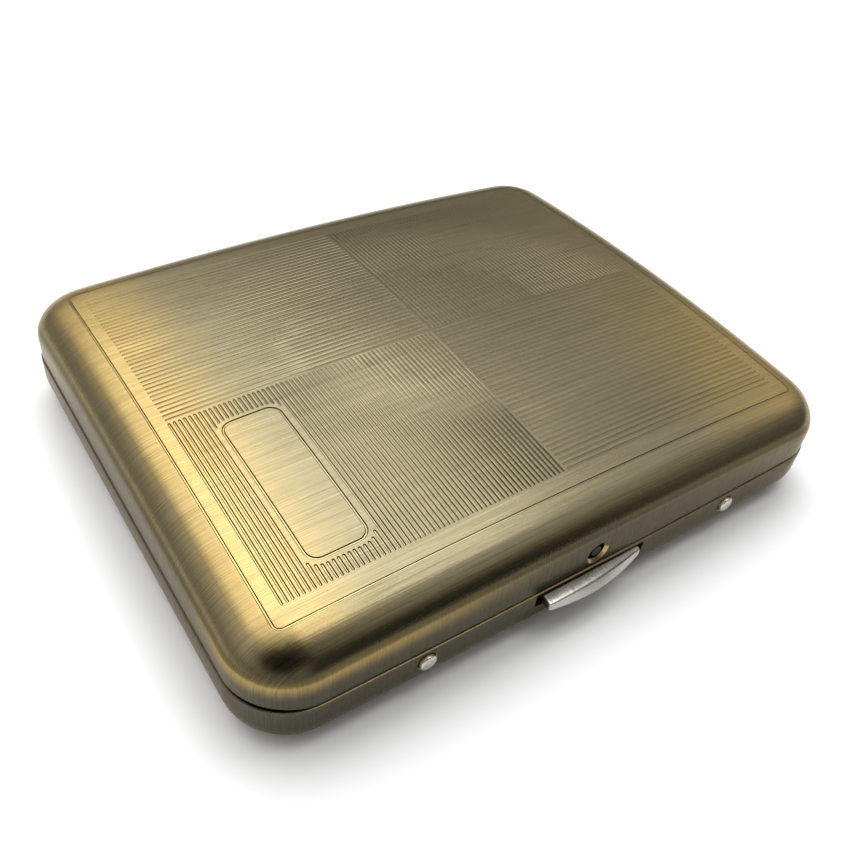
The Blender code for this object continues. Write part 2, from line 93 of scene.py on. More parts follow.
# Stud: (share of its radius, depth in mm) over the crown, then its head, shank and foot
STUD_CROWN = (
    (1.0, 0.42),
    (1.0, 0.26),
    (0.97, 0.18),
    (0.9, 0.11),
    (0.78, 0.065),
    (0.5, 0.02),
    (0.02, 0.0),
)
HEAD_BACK = 1.5 * MM
SHANK_RADIUS = 0.7 * MM
SHANK_START = 1.55 * MM
SHANK_SHORT_OF_END = 0.5 * MM
FOOT_FACE = 0.45 * MM
FOOT_EASE = 0.12 * MM
FOOT_END_SHARE = 0.85

# Thumb piece
THUMB_REACH = 1.8 * MM
THUMB_SHARE = 0.975
THUMB_SHIFT = -0.2 * MM
THUMB_SKEW = math.radians(3.7)
LOWER_BULGE = 1.2 * MM
UPPER_BULGE = 0.25 * MM
NOSE_DROP = 0.3 * MM
NOSE_RADIUS = 0.28 * MM
NOSE_STEPS = 6
NOSE_FULLNESS = 0.6
NOSE_ANGLE = 35
TONGUE_STEPS = 24

# Studio, in metres: soft boxes at one height, around the case, which shine straight down
BOXES = {
    "overhead_box": {"place": (0.075, 0.24, 0.5), "size": (0.19, 0.44), "light": 3.4},
    "left_box": {"place": (-0.16, 0.4, 0.5), "size": (0.28, 0.76), "light": 1.6},
    "right_box": {"place": (0.24, 0.25, 0.5), "size": (0.14, 0.5), "light": 2.7},
    "back_box": {"place": (0.1, 0.66, 0.5), "size": (0.24, 0.34), "light": 2.4},
    "front_box": {"place": (0.14, -0.08, 0.5), "size": (0.24, 0.14), "light": 3.0},
}
PAPER_SIZE = 0.9
PAPER_WHITE = (0.96, 0.96, 0.96)
PAPER_ROUGHNESS = 0.8
PAPER_SHINE = 0.1

# The room that metal mirrors, dim low down and brighter overhead. A pair on X, Y or Z gives
# where a change sets in and where it is full, along that axis of the way looked in. What is
# kept or lost is a share of the light, or of the darkness. Towards the viewer it is black
ROOM_LIGHT = (0.48, 1.34)
OVERHEAD_Z = (0.0, 0.8)
DARK_LATCH_SIDE_Y = (0.0, -0.32)
DARK_LIGHT_KEPT = 0.05
LIT_ABOVE_Z = (0.4, 0.95)
LIT_RIGHT_X = (0.05, 0.35)
PALER_RIGHT_X = (0.5, 0.8)
RIGHT_DARKNESS_KEPT = 0.62
PALER_LEFT_X = (0.15, -0.2)
PALER_LOW_Z = (0.64, 0.46)
LEFT_DARKNESS_LOST = 0.65
DIMMER_BACK_Y = (0.35, 0.75)
DIMMER_RIGHT_X = (0.2, 0.5)
DIMMER_LIGHT_LOST = 0.26
VIEWER_SIDE = (-0.457, -0.586, 0.669)
VIEWER_SPOT = (0.84, 0.96)

# How the rims meet: tight on the latch side, open elsewhere, most at the two front corners
SEAM_TIGHT = 0.07 * MM
SEAM_SIDE = 0.25 * MM
SEAM_CORNER = 0.34 * MM
SEAM_CORNER_SPREAD = 2.2
SEAM_FRONT_START = 0.97
SEAM_FRONT_RUN = 0.03

# The lines pressed in the lid: their field, their pitch and the section of one line
FIELD_LENGTH = 41.4 * MM
FIELD_DEPTH = 32.0 * MM
LINES_ALONG = 37
LINES_ACROSS = 59
FIRST_ALONG = 0.55 * MM
FIRST_ACROSS = 0.5 * MM
QUARTER_GAP = 0.35 * MM
LINE_HALF_WIDTH = 0.22 * MM
LINE_FLOOR = 0.07 * MM
LINE_DEPTH = 0.11 * MM
FAINT_DEPTH = 0.004 * MM
FADE_POWER = 1.8
LINE_END_SIDES = 12
QUARTER_BITES = {
    ("left", "front"): 1.0,
    ("left", "back"): 0.45,
    ("right", "front"): 0.24,
    ("right", "back"): 0.46,
}

# How far the tools stand above the lid, and a hair that keeps their faces off its own
CUTTER_RISE = 0.3 * MM
SKIM = 0.008 * MM

# The incised frame of the field, as half its length and depth, its corners and its line
FRAME_HALF = (43.5 * MM, 34.8 * MM)
FRAME_RADIUS = 1.0 * MM
FRAME_LINE = (0.42 * MM, 0.12 * MM)
RING_CORNER_STEPS = 8

# How much shallower the frame's line is on three of its sides, and the dent in it
FRAME_LIFTS = {"front": 0.03 * MM, "right": 0.045 * MM, "back": 0.065 * MM}
NOTCH_PLACE = (43.5 * MM, -25.2 * MM)
NOTCH_INWARD = 0.1 * MM
NOTCH_OUTWARD = 0.45 * MM
NOTCH_FORWARD = 0.35 * MM

# The cartouche's line and place, and the plain band around it
PLAQUE_LINE = (0.44 * MM, 0.12 * MM)
PLAQUE_CENTRE = (-31.95 * MM, -16.4 * MM)
PLAQUE_HALF = (4.1 * MM, 12.5 * MM)
PLAQUE_RADIUS = 1.7 * MM
BAND_HALF = (5.0 * MM, 13.4 * MM)
BAND_RADIUS = 2.4 * MM


def select_only(piece):
    """Select one piece alone, and make it the one that operators work on."""
    bpy.ops.object.select_all(action="DESELECT")
    piece.select_set(True)
    bpy.context.view_layer.objects.active = piece


@contextmanager
def editing(piece):
    """Edit mode on one piece, with all of it selected."""
    select_only(piece)
    bpy.ops.object.mode_set(mode="EDIT")
    bpy.ops.mesh.select_all(action="SELECT")
    yield
    bpy.ops.object.mode_set(mode="OBJECT")


def settle(piece):
    """Put a piece's place, turn and scale in its mesh."""
    select_only(piece)
    bpy.ops.object.transform_apply(location=True, rotation=True, scale=True)
    return piece


def apply(piece, kind, **settings):
    """Give a piece a modifier with these settings, and apply it."""
    modifier = piece.modifiers.new(kind, kind)
    for name, value in settings.items():
        setattr(modifier, name, value)
    select_only(piece)
    bpy.ops.object.modifier_apply(modifier=modifier.name)


def cut(piece, cutter):
    """Take a cutter's form out of a piece; the cut faces keep the cutter's finish."""
    apply(
        piece,
        "BOOLEAN",
        object=cutter,
        operation="DIFFERENCE",
        solver="MANIFOLD",
        material_mode="TRANSFER",
    )
    bpy.data.objects.remove(cutter)


def join(pieces):
    """Join pieces to the first of them."""
    select_only(pieces[0])
    for piece in pieces:
        piece.select_set(True)
    bpy.ops.object.join()
    return pieces[0]


def select_faces(piece, chosen):
    """In edit mode, leave selected only the faces that the test picks."""
    bpy.ops.object.mode_set(mode="OBJECT")
    for part in (piece.data.vertices, piece.data.edges, piece.data.polygons):
        part.foreach_set("select", [False] * len(part))
    for face in piece.data.polygons:
        face.select = chosen(face)
    bpy.ops.object.mode_set(mode="EDIT")
    bpy.ops.mesh.select_mode(type="FACE")


def slice_across(axis, half):
    """In edit mode, cut a mesh every cell along an axis, so that it can bend."""
    count = int(half / CELL)
    normal = [0.0, 0.0, 0.0]
    normal[axis] = 1.0
    for line in range(-count, count + 1):
        place = [0.0, 0.0, 0.0]
        place[axis] = line * CELL
        bpy.ops.mesh.select_all(action="SELECT")
        bpy.ops.mesh.bisect(plane_co=place, plane_no=normal)


def smooth(piece, degrees=30):
    """Shade smoothly where faces meet at less than an angle."""
    select_only(piece)
    bpy.ops.object.shade_smooth_by_angle(angle=math.radians(degrees))


def wear(piece, *finishes):
    """Give a new piece its finishes, in the order of its slots."""
    piece.data.materials.clear()
    for finish in finishes:
        piece.data.materials.append(finish)


class Value:
    """The output of a node, for use in sums."""

    def __init__(self, tree, socket):
        self.tree = tree
        self.socket = socket

    def _sum(self, operation, first, second):
        """The value that a Math node works out from two."""
        inputs = {0: first, 1: second}
        return self.tree.node("ShaderNodeMath", {"operation": operation}, inputs)

    def __add__(self, other):
        return self._sum("ADD", self, other)

    __radd__ = __add__

    def __mul__(self, other):
        return self._sum("MULTIPLY", self, other)

    __rmul__ = __mul__

    def __sub__(self, other):
        return self._sum("SUBTRACT", self, other)

    def __rsub__(self, other):
        return self._sum("SUBTRACT", other, self)

    def __abs__(self):
        return self.tree.node("ShaderNodeMath", {"operation": "ABSOLUTE"}, {0: self})


class Tree:
    """A node tree that is written as sums of values."""

    def __init__(self, tree):
        self.tree = tree

    def plug(self, socket, value):
        """Link a value to a socket, or set the socket to a number or colour."""
        if isinstance(value, Value):
            self.tree.links.new(value.socket, socket)
        else:
            socket.default_value = value

    def node(self, kind, settings=None, inputs=None, output=0):
        """Add a node, with its settings first and its sockets' values after them."""
        node = self.tree.nodes.new(kind)
        for name, value in (settings or {}).items():
            setattr(node, name, value)
        for name, value in (inputs or {}).items():
            self.plug(node.inputs[name], value)
        return Value(self, node.outputs[output])

    def vector(self, operation, first, second):
        """A vector or colour worked out from two inputs; SCALE takes a number second."""
        second_input = "Scale" if operation == "SCALE" else 1
        inputs = {0: first, second_input: second}
        return self.node("ShaderNodeVectorMath", {"operation": operation}, inputs)

    def axes(self, spot):
        """The X, Y and Z of a vector, each as a value."""
        kind = "ShaderNodeSeparateXYZ"
        return [self.node(kind, {}, {0: spot}, axis) for axis in ("X", "Y", "Z")]

    def ramp(self, value, low, high, start=0.0, end=1.0):
        """Value taken from the range low to high into the range start to end, smoothly."""
        inputs = {
            "Value": value,
            "From Min": low,
            "From Max": high,
            "To Min": start,
            "To Max": end,
        }
        return self.node("ShaderNodeMapRange", {"interpolation_type": "SMOOTHSTEP"}, inputs)

    def blend(self, factor, first, second):
        """Colour that goes from first to second with the factor."""
        inputs = {0: factor}
        for slot, colour in ((6, first), (7, second)):
            inputs[slot] = colour if isinstance(colour, Value) else (*colour, 1.0)
        return self.node("ShaderNodeMix", {"data_type": "RGBA"}, inputs, 2)


class Look(Tree):
    """A material made of nodes around one Principled shader."""

    def __init__(self, name, colour, roughness, metallic=1.0):
        self.material = bpy.data.materials.new(name)
        self.material.use_nodes = True
        super().__init__(self.material.node_tree)
        self.shader = self.tree.nodes["Principled BSDF"]
        self.set("Base Color", (*colour, 1.0))
        self.set("Roughness", roughness)
        self.set("Metallic", metallic)

    def set(self, name, value):
        """Set or link a socket of the shader."""
        self.plug(self.shader.inputs[name], value)

    def place(self):
        """The piece's own coordinates, in millimetres."""
        return self.vector("SCALE", self.node("ShaderNodeTexCoord", output="Object"), 1 / MM)

    def facing(self):
        """How far the surface faces along X, Y and Z, from 0 to 1."""
        normal = self.node("ShaderNodeTexCoord", output="Normal")
        return [abs(axis) for axis in self.axes(normal)]

    def noise(self, stretch, detail, roughness):
        """Noise that varies stretch times per millimetre along each axis."""
        spot = self.vector("MULTIPLY", self.place(), stretch)
        inputs = {"Vector": spot, "Scale": 1.0, "Detail": detail, "Roughness": roughness}
        return self.node("ShaderNodeTexNoise", {}, inputs)

    def bump(self, height, depth, strength=1.0):
        """A bumped normal: the surface stands up by the depth where the height is 1."""
        inputs = {"Height": height, "Distance": depth, "Strength": strength}
        return self.node("ShaderNodeBump", {}, inputs)


# Noise: how often it varies per millimetre along X, Y and Z, its detail and its roughness
STREAKS = ((0.06, 8.0, 0.08), 3.0, 0.7)
HAIRLINES = ((0.2, 20.0, 0.25), 2.0, 0.6)
WALL_SCRATCHES = ((6.0, 0.1, 0.15), 3.0, 0.65)
BRASS_CLOUDS = ((0.03, 0.06, 0.06), 3.0, 0.55)
RIM_SPECKS = ((3.0, 3.0, 9.0), 2.0, 0.6)
METAL_CLOUDS = ((0.2, 0.2, 0.2), 3.0, 0.6)
THUMB_SCRATCHES = ((9.0, 0.3, 0.8), 3.0, 0.7)
THUMB_CLOUDS = ((0.5, 1.0, 1.0), 3.0, 0.6)

# The noise between which a metal goes from dull to rubbed
MOTTLE = (0.38, 0.6)

# Aged brass: bared, under its brown film, and on the walls darker with painted shade, with
# its tint at grazing angles.
# The latch side's wall is darkened further by painted shade
BARE = (0.31, 0.225, 0.088)
FILM = (0.16, 0.139, 0.084)
WALL_FILM_AND_SHADE = (0.074, 0.072, 0.056)
GRAZING = (0.88, 0.81, 0.7, 1.0)
BRUSH_DEPTH = 0.014 * MM
BRUSH_CONTRAST = 1.9
BRUSH_ROUGHNESS = 0.35
STREAK_SHARE = 0.6
SIDE_WEAR = 0.28
WEAR_LEAST = 0.65
WEAR_CLOUDING = 0.7
GOLD_BAND_SHARE = 0.65
RIGHT_GOLD_SHARE = 0.3
ROUNDING_PAINTED_SHADE = 0.55
LATCH_WALL_PAINTED_SHADE = 0.16

# Zones of the brass: what each is read from, where it sets in and where it is full, and at
# times the values there. X, Y and Z are in millimetres, and facing goes from 0 to 1
ZONES = {
    "wall": ("facing_y", 0.72, 0.95),
    "top": ("facing_z", 0.8, 0.95),
    # The walls, which take the darker film with painted shade
    "side": ("facing_z", 0.55, 0.1),
    "right_end": ("x", 10.0, 54.0),
    "right_end_front": ("y", 12.0, -32.0, 0.3, 1.0),
    "left_end": ("x", -24.0, -46.0),
    "left_end_back": ("y", -34.0, 24.0, 0.75, 1.0),
    "gold_left": ("x", 2.0, -38.0),
    "gold_right": ("x", 10.0, 44.0),
    "gold_front": ("y", -20.0, -36.0),
    "gold_height": ("z", 9.6, 12.6),
    "gold_slope": ("facing_z", 0.55, 0.3),
    # Painted shade on a band low on the roundings
    "rounding_shade_upper": ("facing_z", 0.58, 0.42),
    "rounding_shade_lower": ("facing_z", 0.24, 0.36),
    # Painted shade on the latch side's wall
    "latch_shade": ("y", -38.0, -40.6),
    "latch_shade_slope": ("facing_z", 0.5, 0.2),
    "line_flank": ("facing_z", 0.997, 0.92),
    # A painted highlight in the lines of the front left quarter
    "highlight_lines_left": ("x", 0.0, -24.0),
    "highlight_lines_front": ("y", 0.0, -20.0),
}


def brushed_brass(name, rough, lines_highlight=0.0, tarnish=0.0):
    """Aged brass: brushed along X, scratched upright on the long walls, bared at its ends.

    In the pressed lines, the front left quarter gets a painted highlight, and tarnish
    darkens slopes.
    """
    look = Look(name, FILM, rough)
    read = dict(zip(("x", "y", "z"), look.axes(look.place())))
    read["facing_y"], read["facing_z"] = look.facing()[1:]

    def zone(which, *values):
        """How far a spot lies in a zone of the brass."""
        axis, *bounds = ZONES[which]
        return look.ramp(read[axis], *bounds, *values)

    wall = zone("wall")
    lines = look.noise(*STREAKS) * STREAK_SHARE + look.noise(*HAIRLINES) * (1 - STREAK_SHARE)
    lines = lines * (1 - wall) + look.noise(*WALL_SCRATCHES) * wall
    # A band of lighter brass high on the lid's front wall, mostly left of the middle, kept
    # off the walls' darker film
    gold = (zone("gold_left") + zone("gold_right") * RIGHT_GOLD_SHARE) * zone("gold_front")
    gold = gold * zone("gold_height") * zone("gold_slope")
    top = zone("top")
    right = zone("right_end") * zone("right_end_front")
    left = zone("left_end") * zone("left_end_back")
    worn = top * (right + left) + (1 - top) * SIDE_WEAR
    worn = worn * (WEAR_LEAST + look.noise(*BRASS_CLOUDS) * WEAR_CLOUDING) + gold * GOLD_BAND_SHARE
    colour = look.blend(look.ramp(worn, 0.0, 1.0), FILM, BARE)
    # On the walls the film is darker, part film and part painted shade, except in the gold
    # band
    colour = look.blend(zone("side") * (1 - gold), colour, WALL_FILM_AND_SHADE)
    # Painted shade on a band low on the roundings, between the steep and the flat
    rounding_shade = zone("rounding_shade_upper") * zone("rounding_shade_lower")
    # Painted shade: the latch side's wall is darkened
    latch_shade = zone("latch_shade") * zone("latch_shade_slope")
    tone = (lines - 0.5) * (BRUSH_CONTRAST - wall) + 1
    tone = tone * (1 - rounding_shade * ROUNDING_PAINTED_SHADE) * (1 - latch_shade * LATCH_WALL_PAINTED_SHADE)
    tone = tone * zone("line_flank", 1.0, 1 - tarnish)
    # Painted highlight: the lines in the front left quarter are brightened
    lines_painted_highlight = zone("highlight_lines_left") * zone("highlight_lines_front") * lines_highlight + 1
    look.set("Base Color", look.vector("SCALE", colour, tone * lines_painted_highlight))
    look.set("Roughness", rough + (0.5 - lines) * BRUSH_ROUGHNESS)
    look.set("Specular Tint", GRAZING)
    look.set("Normal", look.bump(lines, BRUSH_DEPTH))
    return look.material


# Specks of the plain metals and the rim, and the rim's finish with its painted highlight,
# its Y in millimetres
SPECK_DEPTH = 0.006 * MM
SPECK_STRENGTH = 0.5
RIM_HIGHLIGHT_GOLD = (0.155, 0.114, 0.056)
RIM_DULL = (0.06, 0.053, 0.04)
RIM_ROUGHNESS = 0.4
RIM_POLISH = 0.08
RIM_HIGHLIGHT_Y = (-37.5, -40.2)


def rim_painted_highlight():
    """The rim's cut edge: brown gold along the latch side, which is a painted highlight, and
    dull elsewhere.
    """
    look = Look("rim_painted_highlight", RIM_DULL, RIM_ROUGHNESS)
    y = look.axes(look.place())[1]
    speck = look.noise(*RIM_SPECKS)
    # Painted highlight: the rim turns brown gold towards the latch side
    wear_and_highlight = look.ramp(y, *RIM_HIGHLIGHT_Y)
    colour = look.blend(wear_and_highlight, RIM_DULL, RIM_HIGHLIGHT_GOLD)
    look.set("Base Color", look.vector("SCALE", colour, speck + 0.5))
    look.set("Roughness", RIM_ROUGHNESS - wear_and_highlight * RIM_POLISH)
    look.set("Normal", look.bump(speck, SPECK_DEPTH, SPECK_STRENGTH))
    return look.material


# Plain metals: grains per millimetre, their detail and roughness, and what they change
METAL_GRAIN = 9.0
METAL_GRAIN_DETAIL = (2.0, 0.6)
METAL_CLOUD_SHARE = 0.6
METAL_ROUGHENING = 0.2


def plain_metal(name, colour, dull, roughness, grain=1.0):
    """Satin metal with faint clouds and a fine random grain."""
    look = Look(name, colour, roughness)
    cloud = look.noise(*METAL_CLOUDS)
    speck = look.noise((METAL_GRAIN * grain,) * 3, *METAL_GRAIN_DETAIL)
    mottled = cloud * METAL_CLOUD_SHARE + speck * (1 - METAL_CLOUD_SHARE)
    look.set("Base Color", look.blend(look.ramp(mottled, *MOTTLE), dull, colour))
    look.set("Roughness", roughness + (speck - 0.5) * METAL_ROUGHENING)
    look.set("Normal", look.bump(speck, SPECK_DEPTH, SPECK_STRENGTH))
    return look.material


# Nickel of the thumb piece, painted shade by the wall, painted reflection in front: Y in
# millimetres, facing 0 to 1
THUMB_RUBBED = (0.68, 0.655, 0.595)
THUMB_DULL = (0.4, 0.375, 0.325)
THUMB_FACE_PAINTED_REFLECTION = (0.62, 0.61, 0.57)
THUMB_SCRATCH_SHARE = 0.75
THUMB_SCRATCH_DEPTH = 0.005 * MM
THUMB_FRONT_FACING = (0.7, 0.9)
THUMB_SHADE_BY_WALL_Y = (-42.9, -41.9)
THUMB_TONE = 1.1
THUMB_PAINTED_SHADE_BY_WALL = 0.75
THUMB_ROUGHNESS = 0.32
THUMB_POLISH = 0.12
THUMB_FACE_ROUGHENING = 0.3
THUMB_FACE_DULLING = 0.65


def scratched_nickel():
    """Nickel plate, scratched from front to back by the thumb, and darker next to the wall.

    The darkening next to the wall is painted shade. Its front face is rougher, less metallic
    and pale: a painted reflection.
    """
    look = Look("scratched_nickel", THUMB_FACE_PAINTED_REFLECTION, THUMB_ROUGHNESS)
    scratch = look.noise(*THUMB_SCRATCHES)
    cloud = look.noise(*THUMB_CLOUDS)
    wear_and_highlight = scratch * THUMB_SCRATCH_SHARE + cloud * (1 - THUMB_SCRATCH_SHARE)
    wear_and_highlight = look.ramp(wear_and_highlight, *MOTTLE)
    # Painted reflection: the front face is pale and less metallic
    face = look.ramp(look.facing()[1], *THUMB_FRONT_FACING)
    y = look.axes(look.place())[1]
    # Painted shade: the top darkens towards the wall
    tone = THUMB_TONE - look.ramp(y, *THUMB_SHADE_BY_WALL_Y) * THUMB_PAINTED_SHADE_BY_WALL
    top = look.vector("SCALE", look.blend(wear_and_highlight, THUMB_DULL, THUMB_RUBBED), tone)
    look.set("Base Color", look.blend(face, top, THUMB_FACE_PAINTED_REFLECTION))
    look.set("Metallic", 1 - face * THUMB_FACE_DULLING)
    roughness = THUMB_ROUGHNESS - wear_and_highlight * THUMB_POLISH + face * THUMB_FACE_ROUGHENING
    look.set("Roughness", roughness)
    look.set("Normal", look.bump(scratch * (1 - face), THUMB_SCRATCH_DEPTH))
    return look.material


AGED = brushed_brass("aged_brass_brushed", 0.25)
LINE = brushed_brass("aged_brass_lines", 0.2, lines_highlight=0.55, tarnish=0.9)
RIM = rim_painted_highlight()
EDGE = plain_metal("bright_brass_edges", (0.52, 0.38, 0.17), (0.35, 0.25, 0.12), 0.3)
LINING = plain_metal("brass_lining", (0.5, 0.375, 0.175), (0.39, 0.3, 0.145), 0.36, 0.3)
NICKEL = plain_metal("worn_nickel", (0.6, 0.575, 0.515), (0.42, 0.39, 0.34), 0.28)
THUMB = scratched_nickel()
STEEL = plain_metal("spring_steel_grey", (0.22, 0.21, 0.2), (0.13, 0.125, 0.12), 0.38)
# Near-black blued steel, partly painted shade: the leaf's nub seen in the catch hole stays
# dark
BLUED_STEEL_AND_SHADE = plain_metal("blued_leaf_steel_and_shade", (0.024, 0.022, 0.02), (0.014, 0.013, 0.012), 0.4)


def ellipse_rings(edge, rim, face):
    """(inset, height) pairs of a pressed edge, from the rim's wall to the flat face."""
    width, rise = edge
    up = 1 if face > rim else -1
    rings = []
    for step in range(EDGE_STEPS + 1):
        turn = step / EDGE_STEPS * math.pi / 2
        rings.append((width * (1 - math.cos(turn)), face - up * rise * (1 - math.sin(turn))))
    return rings


def pressed_sheet(name, grow, rim, rings):
    """A shell with a rounded plan, open at its rim: a wall, then the rings of its edge."""
    up = 1 if rings[-1][1] > rim else -1
    bpy.ops.mesh.primitive_plane_add(size=2, location=(0, 0, rim))
    sheet = bpy.context.object
    sheet.name = name
    sheet.scale = (HALF_LENGTH + grow, HALF_DEPTH + grow, 1)
    settle(sheet)
    with editing(sheet):
        radius = CORNER_RADIUS + grow
        bpy.ops.mesh.bevel(offset=radius, segments=CORNER_STEPS, affect="VERTICES")
        if up < 0:
            bpy.ops.mesh.flip_normals()
        lift = {"value": (0, 0, rings[0][1] - rim)}
        bpy.ops.mesh.extrude_region_move(TRANSFORM_OT_translate=lift)
        for (inset, height), (next_inset, next_height) in zip(rings, rings[1:]):
            rise = abs(next_height - height)
            step = next_inset - inset
            bpy.ops.mesh.inset(thickness=step, depth=rise, use_even_offset=True)
        select_faces(sheet, lambda face: abs(face.center.z - rim) < SKIM)
        bpy.ops.mesh.delete(type="FACE")
        slice_across(0, HALF_LENGTH - SHEET)
        slice_across(1, HALF_DEPTH - SHEET)
    for point in sheet.data.vertices:
        share = max(0.0, -point.co.y / HALF_DEPTH)
        point.co.y -= FRONT_BOW * (1 - (point.co.x / HALF_LENGTH) ** 2) * share
    wear(sheet, AGED, LINING, RIM)
    finishes = {"material_offset": 1, "material_offset_rim": 2}
    apply(sheet, "SOLIDIFY", thickness=SHEET, offset=-1, use_even_offset=True, **finishes)
    rim_bevel = {"width": RIM_BEVEL, "segments": 2, "limit_method": "ANGLE"}
    apply(sheet, "BEVEL", angle_limit=math.radians(SHARP_ANGLE), **rim_bevel)
    return sheet


def flat_plate(half, centre, height):
    """A flat rectangle that faces up."""
    bpy.ops.mesh.primitive_plane_add(size=2, location=(*centre, height))
    plate = bpy.context.object
    plate.scale = (*half, 1)
    return settle(plate)


def ring_cutter(centre, half, radius, line):
    """A tool that incises a line, of a width and depth, around a rounded rectangle."""
    side, depth = line[0] / 2, line[1]
    outer = (half[0] + side, half[1] + side)
    ring = flat_plate(outer, centre, LID_TOP + SKIM)
    slope = side - LINE_FLOOR
    with editing(ring):
        corner = {"offset": radius + side, "segments": RING_CORNER_STEPS}
        bpy.ops.mesh.bevel(affect="VERTICES", **corner)
        bpy.ops.mesh.inset(thickness=slope, depth=-depth)
        bpy.ops.mesh.inset(thickness=2 * LINE_FLOOR, depth=0)
        bpy.ops.mesh.inset(thickness=slope, depth=depth)
        bpy.ops.mesh.delete(type="FACE")
        bpy.ops.mesh.select_all(action="DESELECT")
        bpy.ops.mesh.select_mode(type="EDGE")
        bpy.ops.mesh.select_non_manifold()
        bpy.ops.mesh.bridge_edge_loops()
        rise = {"value": (0, 0, CUTTER_RISE)}
        bpy.ops.mesh.extrude_region_move(TRANSFORM_OT_translate=rise)
        slice_across(0, HALF_LENGTH)
        slice_across(1, HALF_DEPTH)
        bpy.ops.mesh.select_all(action="SELECT")
        bpy.ops.mesh.normals_make_consistent(inside=False)
    return ring


def line_cutter(start, end):
    """A tool that presses one straight line with round ends."""
    bpy.ops.mesh.primitive_circle_add(
        vertices=LINE_END_SIDES,
        radius=LINE_HALF_WIDTH,
        fill_type="NGON",
        location=(*start, LID_TOP + CUTTER_RISE),
    )
    line = settle(bpy.context.object)
    run = Vector((end[0] - start[0], end[1] - start[1], 0))
    for point in line.data.vertices:
        if (point.co - Vector((*start, point.co.z))).dot(run) > 0:
            point.co += run
    with editing(line):
        bpy.ops.mesh.flip_normals()
        drop = {"value": (0, 0, SKIM - CUTTER_RISE)}
        bpy.ops.mesh.extrude_region_move(TRANSFORM_OT_translate=drop)
        slope = LINE_HALF_WIDTH - LINE_FLOOR
        bpy.ops.mesh.inset(thickness=slope, depth=LINE_DEPTH + SKIM)
        if abs(run.x) > abs(run.y):
            slice_across(0, HALF_LENGTH)
        else:
            slice_across(1, HALF_DEPTH)
        bpy.ops.mesh.select_all(action="SELECT")
        bpy.ops.mesh.normals_make_consistent(inside=False)
    return line


def edge_fall(x, y):
    """How far the lid's rounded edge lies below its flat at a spot."""
    bow = FRONT_BOW * (1 - (x / HALF_LENGTH) ** 2) if y < 0 else 0.0
    aside = HALF_LENGTH - abs(x)
    ahead = HALF_DEPTH + bow - abs(y)
    inset = min(aside, ahead)
    if aside < CORNER_RADIUS and ahead < CORNER_RADIUS:
        inset = CORNER_RADIUS - math.hypot(CORNER_RADIUS - aside, CORNER_RADIUS - ahead)
    width, rise = LID_EDGE
    beyond = max(0.0, 1 - inset / width)
    return rise * (1 - math.sqrt(1 - beyond**2))


def pressed_depth(x, y):
    """Depth of a line at a spot: deepest in the front left quarter, least at the middle."""
    aside = min(1.0, math.hypot(x / FIELD_LENGTH, y / FIELD_DEPTH))
    side = ("right" if x > 0 else "left", "front" if y < 0 else "back")
    bite = (LINE_DEPTH - FAINT_DEPTH) * QUARTER_BITES[side] * aside**FADE_POWER
    return FAINT_DEPTH + bite


def repeated(tool, step, count):
    """The tool and its copies, each a step further."""
    tools = [tool]
    for index in range(1, count):
        copy = tool.copy()
        copy.data = tool.data.copy()
        copy.data.transform(Matrix.Translation(Vector(step) * index))
        bpy.context.collection.objects.link(copy)
        tools.append(copy)
    return tools


def spacing(first, last, count):
    """The step that spreads a count evenly from first to last."""
    return (last - first) / (count - 1)


def band_reach(x):
    """Half height of the plain band around the cartouche at x, or None beside it."""
    aside = abs(x - PLAQUE_CENTRE[0])
    if aside > BAND_HALF[0]:
        return None
    bend = max(0.0, aside - (BAND_HALF[0] - BAND_RADIUS))
    return BAND_HALF[1] - BAND_RADIUS + math.sqrt(BAND_RADIUS**2 - bend**2)


def pattern_cutter():
    """All the tools of the lid's lines: two quarters lined along X and two across."""
    step_y = spacing(FIRST_ALONG, FIELD_DEPTH, LINES_ALONG)
    step_x = spacing(FIRST_ACROSS, FIELD_LENGTH, LINES_ACROSS)
    gap = QUARTER_GAP
    tools = []
    back_left = line_cutter((-gap, FIRST_ALONG), (-FIELD_LENGTH, FIRST_ALONG))
    tools += repeated(back_left, (0, step_y, 0), LINES_ALONG)
    front_right = line_cutter((gap, -FIRST_ALONG), (FIELD_LENGTH, -FIRST_ALONG))
    tools += repeated(front_right, (0, -step_y, 0), LINES_ALONG)
    back_right = line_cutter((FIRST_ACROSS, gap), (FIRST_ACROSS, FIELD_DEPTH))
    tools += repeated(back_right, (step_x, 0, 0), LINES_ACROSS)
    for index in range(LINES_ACROSS):
        x = -FIRST_ACROSS - step_x * index
        reach = band_reach(x)
        if reach is None:
            tools.append(line_cutter((x, -gap), (x, -FIELD_DEPTH)))
        else:
            tools.append(line_cutter((x, -gap), (x, PLAQUE_CENTRE[1] + reach)))
            tools.append(line_cutter((x, PLAQUE_CENTRE[1] - reach), (x, -FIELD_DEPTH)))
    for tool in tools:
        for point in tool.data.vertices:
            if point.co.z < LID_TOP - SKIM:
                point.co.z = LID_TOP - pressed_depth(point.co.x, point.co.y)
    border = ring_cutter((0, 0), FRAME_HALF, FRAME_RADIUS, FRAME_LINE)
    for point in border.data.vertices:
        point.co.z -= edge_fall(point.co.x, point.co.y)
        if point.co.y > FRAME_HALF[1] - FRAME_RADIUS:
            point.co.z += FRAME_LIFTS["back"]
        elif point.co.x > FRAME_HALF[0] - FRAME_RADIUS:
            point.co.z += FRAME_LIFTS["right"]
        elif point.co.y < FRAME_RADIUS - FRAME_HALF[1]:
            point.co.z += FRAME_LIFTS["front"]
    tools.append(border)
    tools.append(ring_cutter(PLAQUE_CENTRE, PLAQUE_HALF, PLAQUE_RADIUS, PLAQUE_LINE))
    tool = join(tools)
    wear(tool, LINE)
    return tool


